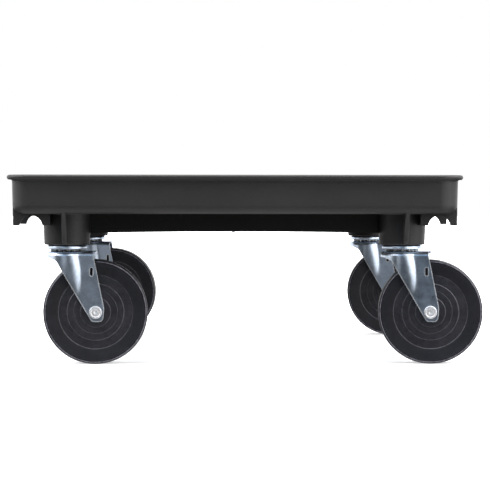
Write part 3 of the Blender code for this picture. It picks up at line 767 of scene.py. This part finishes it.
def ball_row_mesh(name, row_radius, row_height, count, radius):
    """A row of balls in a thin cage."""
    shapes = []
    for i in range(count):
        turn = math.tau * i / count
        ball = bmesh.new()
        bmesh.ops.create_uvsphere(ball, u_segments=20, v_segments=12, radius=radius)
        bmesh.ops.translate(ball, verts=ball.verts,
                            vec=(row_radius * math.cos(turn), row_radius * math.sin(turn), row_height))
        shapes.append(ball)
    inner, outer = row_radius - 1.9 * MM, row_radius + 1.9 * MM
    low, high = row_height - 0.35 * MM, row_height + 0.35 * MM
    cage = [(inner, low), (outer, low), (outer, high), (inner, high)]
    balls = to_mesh(name, gather(shapes))
    return carve(balls, [("UNION", spin(cage, 72))])


def threaded_rod(radius, depth, pitch, low, high):
    """A rod with a right-hand thread, chamfered at its upper end."""
    around = 40
    rows = []
    levels = int((high - low) / (pitch / 6))
    for j in range(levels + 1):
        z = mix(low, high, j / levels)
        row = []
        for i in range(around):
            phase = (z / pitch - i / around) % 1
            cut = depth * (1 - abs(2 * phase - 1))
            fade = smooth_step((z - low) / (2 * pitch))
            r = min(radius - cut * fade, radius - depth + (high - z) * 0.9)
            row.append((r * math.cos(math.tau * i / around), r * math.sin(math.tau * i / around), z))
        rows.append(row)
    return skin(rows)


def kingpin_mesh():
    """A riveted round head below and a threaded stem above."""
    head = [(0, 124.2), (7.6, 124.2), (9.4, 124.9), (10.0, 126.0), (10.0, 126.9)]
    head += [(6.35, 126.9), (6.35, 150.4), (0, 150.4)]
    rod = to_mesh("kingpin_model", spin(millimetres(head), 64))
    return carve(rod, [("UNION", threaded_rod(6.35 * MM, 0.7 * MM, 2.0 * MM, 150 * MM, 176 * MM))])


def washer_mesh(name, inner, outer, low, high, axis="Z", centre=(0, 0, 0)):
    ease = 0.25 * MM
    profile = [(inner + ease, low), (outer - ease, low), (outer, low + ease), (outer, high - ease),
               (outer - ease, high), (inner + ease, high), (inner, high - ease), (inner, low + ease)]
    return to_mesh(name, spin(profile, 64, axis, centre))


def hex_nut_mesh(name, flats, bore, low, high, axis="Z", centre=(0, 0, 0)):
    """A hexagon with its corners turned off on both faces."""
    reach = flats / math.sqrt(3)
    ease = (reach - flats / 2) * 0.62
    turn = math.radians(30)
    plane = "XY" if axis == "Z" else "XZ"
    middle = (centre[0], centre[1] if axis == "Z" else centre[2])
    outline = [(middle[0] + reach * math.cos(turn + i * math.tau / 6),
                middle[1] + reach * math.sin(turn + i * math.tau / 6)) for i in range(6)]
    cone = [(0, low), (flats / 2, low), (reach, low + ease)]
    cone += [(reach, high - ease), (flats / 2, high), (0, high)]
    hole = [(0, low - MM), (bore + 1.5 * MM, low - MM), (bore, low + 0.5 * MM), (bore, high - 0.5 * MM),
            (bore + 1.5 * MM, high + MM), (0, high + MM)]
    body = to_mesh(name, prism(outline, low, high, plane))
    return carve(body, [("INTERSECT", spin(cone, 72, axis, centre)),
                        ("DIFFERENCE", spin(hole, 40, axis, centre))])


def wheel_mesh():
    """A solid wheel with a stepped face: a flat hub, thin raised rings and a sloping outer band."""
    def ring(radius, level, lift=0.35, width=0.55):
        crest = width * 0.3
        return [(radius - width, level), (radius - crest, level + lift),
                (radius + crest, level + lift), (radius + width, level)]
    face = [(8.6, 15.7), (9.4, 16.5), (17.4, 16.5), (18.2, 16.3), (18.6, 15.9), (19.0, 15.0)]
    face += ring(26.3, 14.85, 0.28, 0.6)
    face += [(33.5, 14.7), (34.0, 14.6), (34.5, 14.0), (34.8, 13.7), (35.3, 13.6)]
    face += [(44.2, 13.2), (44.7, 13.3), (45.2, 13.75), (45.8, 13.85), (53.0, 14.45), (59.2, 14.95)]
    face += arc((60.6, 12.1), 2.9, 86, 0, 10)
    outline = face + [(63.5, 6.0), (63.5, 0.0)]
    mirrored = [(r, -y) for r, y in reversed(outline[:-1])]
    profile = millimetres(outline + mirrored)
    return to_mesh("wheel_model", spin(profile, 144, "Y", (TRAIL, 0, AXLE)))


def axle_bolt_mesh():
    """A flat head with a raised rim and a dimpled middle, and a plain shank."""
    head = [(7.75, -22.3), (7.75, -24.6), (7.3, -25.3), (6.6, -25.6), (5.8, -25.6), (5.3, -25.3)]
    head += [(5.0, -24.9), (4.4, -24.8), (3.4, -25.0), (2.6, -25.1), (1.8, -24.9), (1.0, -24.5), (0, -24.4)]
    shank = [(0, 30.5), (3.2, 30.5), (4.0, 29.6), (4.0, -22.3)]
    return to_mesh("axle_bolt_model", spin(millimetres(shank + head), 64, "Y", (TRAIL, 0, AXLE)))


def sleeve_mesh():
    half = 17.4 * MM
    return washer_mesh("axle_sleeve_model", AXLE_BORE, 8.0 * MM, -half, half, "Y", (TRAIL, 0, AXLE))


def side_washer_mesh(name, side):
    low, high = sorted((side * 17.7 * MM, side * 19.2 * MM))
    return washer_mesh(name, AXLE_BORE, 8.0 * MM, low, high, "Y", (TRAIL, 0, AXLE))


def make_casters():
    """Meshes each caster piece once and places it under all four sockets."""
    zinc = zinc_plate("zinc_plate", (0.72, 0.82, 0.95), 0.25, 0.33)
    # painted reflection: the axle steel is white and only 45% metallic, so part of its brightness is
    # diffuse colour in place of mirrored light
    bright = zinc_plate("axle_steel", (1.0, 1.0, 1.0), 0.28, 0.38, 0.45, 0.3)
    steel = ball_steel()
    wheel = wheel_plastic()
    axle = (TRAIL, 0, AXLE)
    pieces = {
        "fork": (fork_mesh(), zinc, "swivel", "zinc_plate"),
        "top_race": (top_race_mesh(), zinc, "deck", "zinc_plate"),
        "lower_race": (lower_race_mesh(), zinc, "deck", "zinc_plate"),
        "upper_balls": (ball_row_mesh("upper_balls_model", 17.5 * MM, 138.7 * MM, 16, 2.5 * MM), steel,
                        "swivel", "ball_steel"),
        "lower_balls": (ball_row_mesh("lower_balls_model", 12.5 * MM, 131.5 * MM, 12, 2.5 * MM), steel,
                        "swivel", "ball_steel"),
        "kingpin": (kingpin_mesh(), zinc, "deck", "zinc_plate"),
        "stem_washer": (washer_mesh("stem_washer_model", 6.65 * MM, 14 * MM, 158.3 * MM, 160.8 * MM), zinc,
                        "deck", "zinc_plate"),
        "stem_nut": (hex_nut_mesh("stem_nut_model", 19 * MM, 6.6 * MM, 161.1 * MM, 172.0 * MM), zinc,
                     "deck", "zinc_plate"),
        "wheel": (wheel_mesh(), wheel, "roller", "wheel_plastic"),
        "axle_sleeve": (sleeve_mesh(), bright, "swivel", "axle_steel"),
        "axle_bolt": (axle_bolt_mesh(), bright, "swivel", "axle_steel"),
        "axle_nut": (hex_nut_mesh("axle_nut_model", 13 * MM, 4.2 * MM, 22.3 * MM, 28.8 * MM, "Y", axle),
                     zinc, "swivel", "zinc_plate"),
        "washer_near": (side_washer_mesh("washer_near_model", -1), zinc, "swivel", "zinc_plate"),
        "washer_far": (side_washer_mesh("washer_far_model", 1), zinc, "swivel", "zinc_plate"),
    }
    for part, (mesh, finish, body, slot) in pieces.items():
        shade(mesh, finish, 32)
        for prefix in PREFIXES:
            piece = bpy.data.objects.new(f"{prefix}_{part}_model", mesh)
            bpy.context.scene.collection.objects.link(piece)
            pivot = JOINTS[f"{prefix}_swivel_turn"]
            offset = JOINTS[f"{prefix}_wheel_roll"] - pivot
            piece.location = (pivot.x, pivot.y, GROUND)
            piece.rotation_euler.z = math.atan2(offset.y, offset.x)
            if part in ("fork", "wheel"):
                piece.modifiers.new("even_shading", "WEIGHTED_NORMAL").keep_sharp = True
            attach(piece, "deck" if body == "deck" else f"{prefix}_{body}")
            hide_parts(f"{prefix}_{part}")


# ---------------------------------------------------------------- studio

FLOOR_HALF = 12.0


def floor():
    """A white floor that shows only soft contact shadows, and casts no light back on the object."""
    graph = Graph("pale_floor")
    grain = graph.noise(graph.place(), 30.0, 3.0)
    colour = graph.blend(grain, grey(0.90), grey(0.93))
    finish = graph.finish(colour, 0.8, 0.0, Emission_Color=(1, 1, 1, 1), Emission_Strength=0.45)
    mesh = bpy.data.meshes.new("floor")
    around = [(-FLOOR_HALF, -FLOOR_HALF), (FLOOR_HALF, -FLOOR_HALF),
              (FLOOR_HALF, FLOOR_HALF), (-FLOOR_HALF, FLOOR_HALF)]
    mesh.from_pydata([(x, y, GROUND) for x, y in around], [], [(0, 1, 2, 3)])
    mesh.materials.append(finish)
    plane = bpy.data.objects.new("floor", mesh)
    bpy.context.scene.collection.objects.link(plane)
    plane.visible_diffuse = False
    plane.visible_glossy = False


# Softboxes round the object: azimuth from the front towards the right, elevation, level
SOFTBOXES = (
    ((14, 80), (16, 48), 2.3),                     # right front, the main light
    ((-62, -28), (16, 45), 1.7),                   # left front
    ((-115, -66), (-15, 20), 1.2),                 # left side
    ((-115, -62), (20, 60), 6.0),                  # left side, high
    ((72, 115), (-15, 20), 0.6),                   # right side
    ((70, 115), (20, 60), 6.0),                    # right side, high
    ((22, 84), (-45, -8), 1.6),                    # white table edge, right front
    ((-115, -28), (-45, -15), 0.25),               # white table edge, left
    ((115, 245), (-15, 60), 1.4),                  # behind
    ((-180, 180), (62, 90), 7.4),                  # overhead
    ((-180, 180), (-90, -45), 1.05),               # white table below
)
FRONT_FILL = ((-36, 4), (10, 32), 0.7)
# Low cards that only the metal and the polish mirror, given like the softboxes
CARDS = (
    ((24, 84), (-4, 16), 2.0),
    ((-26, -8), (-5, 8), 0.8),
)
CARD_DISTANCE = 2.0
TENT_COLOUR = (0.99, 0.99, 1.0, 1)
FILL_COLOUR = (0.50, 0.80, 1.15, 1)
BORDER = 3.0                                       # degrees over which a softbox fades out


def surroundings():
    """A light tent: white to the camera, and to the object dark in front with softboxes round it."""
    world = bpy.data.worlds.new("studio")
    bpy.context.scene.world = world
    world.use_nodes = True
    graph = Graph(tree=world.node_tree)
    graph.tree.nodes.clear()
    direction = graph.add("ShaderNodeTexCoord").outputs["Generated"]
    x, y, z = graph.add("ShaderNodeSeparateXYZ", {0: direction}).outputs
    azimuth = graph.math("ARCTAN2", x, graph.product(y, -1.0))
    elevation = graph.math("ARCSINE", z)

    def within(angle, span):
        """About 1 for angles inside the span and 0 outside, whole turns left out."""
        middle = math.radians(sum(span) / 2)
        half = math.radians(span[1] - span[0]) / 2
        fade = math.radians(BORDER)
        turns = {0: graph.math("SUBTRACT", angle, middle), 1: math.pi, 2: -math.pi}
        offset = graph.add("ShaderNodeMath", turns, operation="WRAP").outputs[0]
        return graph.range(graph.math("ABSOLUTE", offset), half - fade, half + fade, 1.0, 0.0)

    def softbox(across, upright, level):
        return graph.product(graph.product(within(azimuth, across), within(elevation, upright)), level)

    total = softbox(*SOFTBOXES[0])
    for box in SOFTBOXES[1:]:
        total = graph.math("ADD", total, softbox(*box))
    tent = graph.add("ShaderNodeBackground", {"Color": TENT_COLOUR, "Strength": total})
    fill = graph.add("ShaderNodeBackground", {"Color": FILL_COLOUR, "Strength": softbox(*FRONT_FILL)})
    room = graph.add("ShaderNodeAddShader", {0: tent.outputs[0], 1: fill.outputs[0]}).outputs[0]
    paper = graph.add("ShaderNodeBackground", {"Color": (1, 1, 1, 1), "Strength": 1.0}).outputs[0]
    camera_ray = graph.add("ShaderNodeLightPath").outputs["Is Camera Ray"]
    chosen = graph.add("ShaderNodeMixShader", {0: camera_ray, 1: room, 2: paper}).outputs[0]
    graph.add("ShaderNodeOutputWorld", {0: chosen})


def cards():
    """Area lights that stand for low reflector cards: no diffuse light comes from them."""
    for i, (across, upright, level) in enumerate(CARDS):
        azimuth, elevation = math.radians(sum(across) / 2), math.radians(sum(upright) / 2)
        light = bpy.data.lights.new(f"card_{i}", "AREA")
        light.shape = "RECTANGLE"
        light.size = 2 * CARD_DISTANCE * math.tan(math.radians(across[1] - across[0]) / 2)
        light.size_y = 2 * CARD_DISTANCE * math.tan(math.radians(upright[1] - upright[0]) / 2)
        light.energy = level * math.pi * light.size * light.size_y
        away = Vector((math.sin(azimuth) * math.cos(elevation), -math.cos(azimuth) * math.cos(elevation),
                       math.sin(elevation)))
        card = bpy.data.objects.new(light.name, light)
        card.location = Vector((0, 0, GROUND / 2)) + away * CARD_DISTANCE
        card.rotation_euler = away.to_track_quat("Z", "Y").to_euler()
        card.visible_diffuse = False
        card.visible_camera = False
        bpy.context.scene.collection.objects.link(card)


# The camera's place in metres and its turns in degrees, fitted to the object's outlines
CAMERA_PLACE = (-0.04848, -2.20377, GROUND + 0.20898)
TURN_RIGHT, TILT_DOWN, ROLL = 1.737, 1.847, -0.055
LENS = 120.17


def camera():
    """The view is almost square on to the front, from a little left of the middle and about rim height."""
    data = bpy.data.cameras.new("camera")
    data.lens = LENS
    data.sensor_width = 36.0
    data.clip_end = 60
    made = bpy.data.objects.new("camera", data)
    made.location = CAMERA_PLACE
    made.rotation_mode = "XYZ"
    made.rotation_euler = (math.radians(90 - TILT_DOWN), math.radians(ROLL), math.radians(-TURN_RIGHT))
    bpy.context.scene.collection.objects.link(made)
    bpy.context.scene.camera = made


bpy.context.scene.view_settings.view_transform = "Standard"
make_deck(tray_plastic())
make_casters()
floor()
surroundings()
cards()
camera()

bpy.context.view_layer.update()
